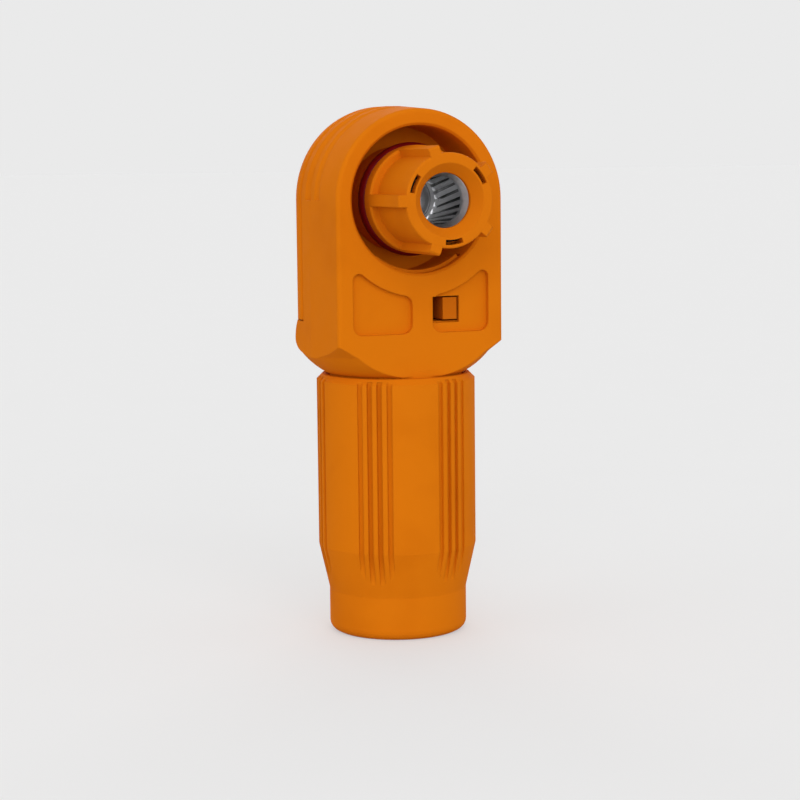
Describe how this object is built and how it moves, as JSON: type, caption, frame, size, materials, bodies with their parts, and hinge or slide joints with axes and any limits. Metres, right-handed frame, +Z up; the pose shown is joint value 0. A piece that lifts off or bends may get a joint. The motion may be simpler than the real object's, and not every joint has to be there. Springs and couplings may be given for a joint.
{
  "type": "right-angle battery storage connector plug",
  "caption": "Right-angle high-current plug with a finger-safe keyed socket nose, press-to-release latch, domed rear cover and a long fluted cable gland nut.",
  "frame": {"origin": "centre of the cable entry on the end face of the gland nut", "axes": "+Z up along the cable's axis to the head, -Y out of the socket nose, +X to the right when looking at the nose"},
  "size_m": [0.0322, 0.0411, 0.0926],
  "materials": {
    "orange_shell": "fine matt moulded orange",
    "orange_insert": "fine matt moulded orange",
    "black_plastic": "matt black glass-filled plastic",
    "grey_silicone": "soft matt silicone",
    "red_silicone": "satin dark red silicone",
    "silver_plate": "bright silver plate over copper alloy",
    "spring_steel": "plain stainless spring steel"
  },
  "bodies": {
    "housing": {"housing": "orange_shell", "rear_cover": "orange_shell", "rear_cover_seal": "grey_silicone", "socket_contact": "silver_plate", "crown_spring": "silver_plate", "crown_ring": "silver_plate", "cable_lug": "silver_plate", "contact_screw": "spring_steel", "spring_washer": "spring_steel", "contact_seal": "grey_silicone", "latch_springs": "spring_steel", "cable_seal": "grey_silicone", "seal_follower": "black_plastic", "clamp_claw": "black_plastic", "neck_seal": "grey_silicone"},
    "insert": {"keyed_insert": "orange_insert", "touch_guard": "black_plastic", "interface_seal": "red_silicone", "insert_retainer": "spring_steel"},
    "button": {"release_button": "orange_insert"},
    "latch": {"latch_slide": "orange_insert"},
    "carriage": {"slip_washer": "spring_steel"},
    "nut": {"gland_nut": "orange_shell"}
  },
  "joints": [
    {"name": "insert_turn", "type": "hinge", "parent": "housing", "child": "insert", "pos_m": [0, 0, 0.07655], "axis": [0, -1, 0], "continuous": true},
    {"name": "button_press", "type": "slide", "parent": "housing", "child": "button", "axis": [0, -1, 0], "range_m": [0, 0.002], "stiffness_N_per_m": 800, "springref_m": -0.002},
    {"name": "latch_drop", "type": "slide", "parent": "housing", "child": "latch", "axis": [0, 0, -1], "range_m": [0, 0.0016], "deforming": ["latch_springs"]},
    {"name": "nut_travel", "type": "slide", "parent": "housing", "child": "carriage", "axis": [0, 0, -1], "range_m": [0, 0.006]},
    {"name": "nut_turn", "type": "hinge", "parent": "carriage", "child": "nut", "pos_m": [0, 0, 0], "axis": [0, 0, -1], "range_deg": [0, 1440]}
  ],
  "couplings": [
    {"joint": "latch_drop", "follows": "button_press", "ratio": 0.8},
    {"joint": "nut_travel", "follows": "nut_turn", "m_per_rad": 0.00023873}
  ]
}
